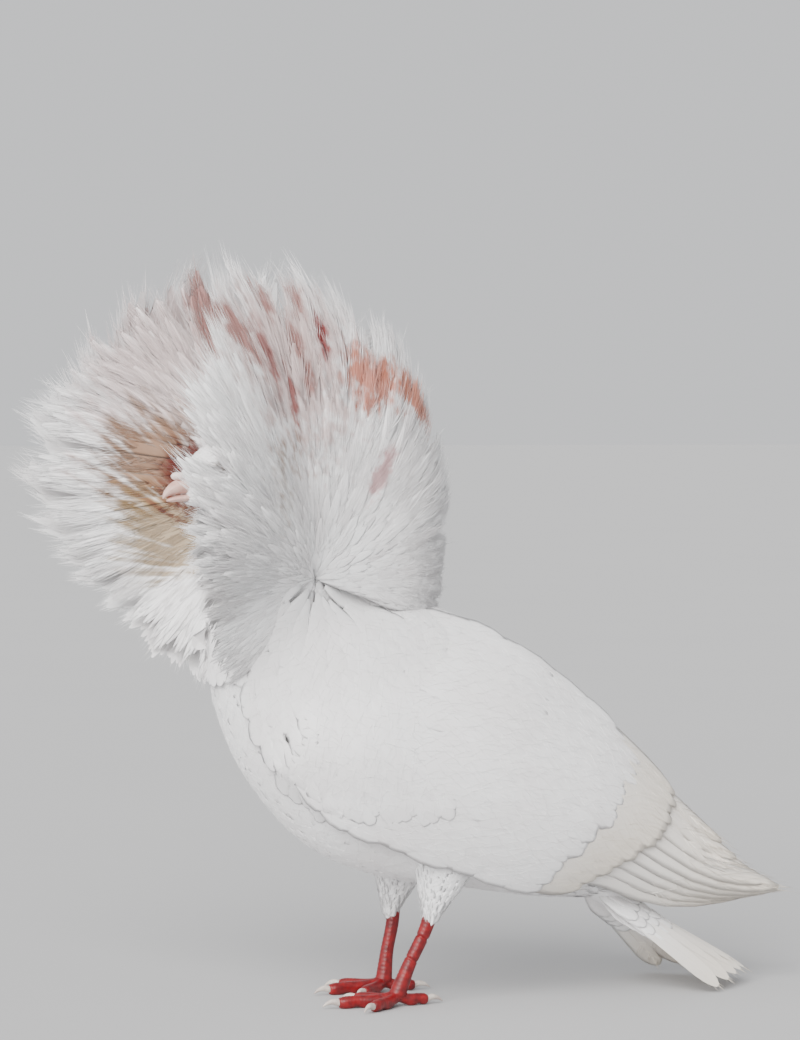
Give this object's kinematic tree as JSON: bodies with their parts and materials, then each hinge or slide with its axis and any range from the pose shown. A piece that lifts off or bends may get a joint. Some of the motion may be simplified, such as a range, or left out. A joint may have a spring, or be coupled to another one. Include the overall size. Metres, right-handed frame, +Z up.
{
  "type": "jacobin pigeon",
  "caption": "Standing white pigeon with a large feather ruff of hood, mane and chain round its head, folded wings, short bill and red feet; a still life-size display model.",
  "frame": {"origin": "on the floor under the middle of the bird's outline seen from above", "axes": "the bird faces -X, its left side is -Y, +Z is up; +Y is along its shortest extent, across the body"},
  "size_m": [0.3723, 0.1863, 0.3684],
  "materials": {
    "plumage": "soft matt body feathers, white with a cool grey shade",
    "flight": "smooth satin flight and tail feathers, creamy white",
    "ruff": "loose matt ruff feathers, white with rust and rosy brown patches",
    "bill": "pale flesh-coloured horn, satin",
    "cere": "powdery pale flesh",
    "eye": "wet gloss, orange red iris and dark pupil",
    "leg": "bright red scaly skin, slightly glossy",
    "claw": "pale horn, satin"
  },
  "bodies": {
    "root": {"torso": "plumage", "neck": "plumage", "head": "plumage", "eye_left": "eye", "eye_right": "eye", "bill_upper": "bill", "bill_lower": "bill", "cere": "cere", "hood_left": "ruff", "hood_right": "ruff", "chain_left": "ruff", "chain_right": "ruff", "mane": "ruff", "wing_left": "flight", "wing_right": "flight", "tail": "flight", "thigh_left": "plumage", "thigh_right": "plumage", "foot_left": "leg", "foot_right": "leg", "claw_left_middle": "claw", "claw_left_inner": "claw", "claw_left_outer": "claw", "claw_left_hind": "claw", "claw_right_middle": "claw", "claw_right_inner": "claw", "claw_right_outer": "claw", "claw_right_hind": "claw"}
  },
  "joints": []
}
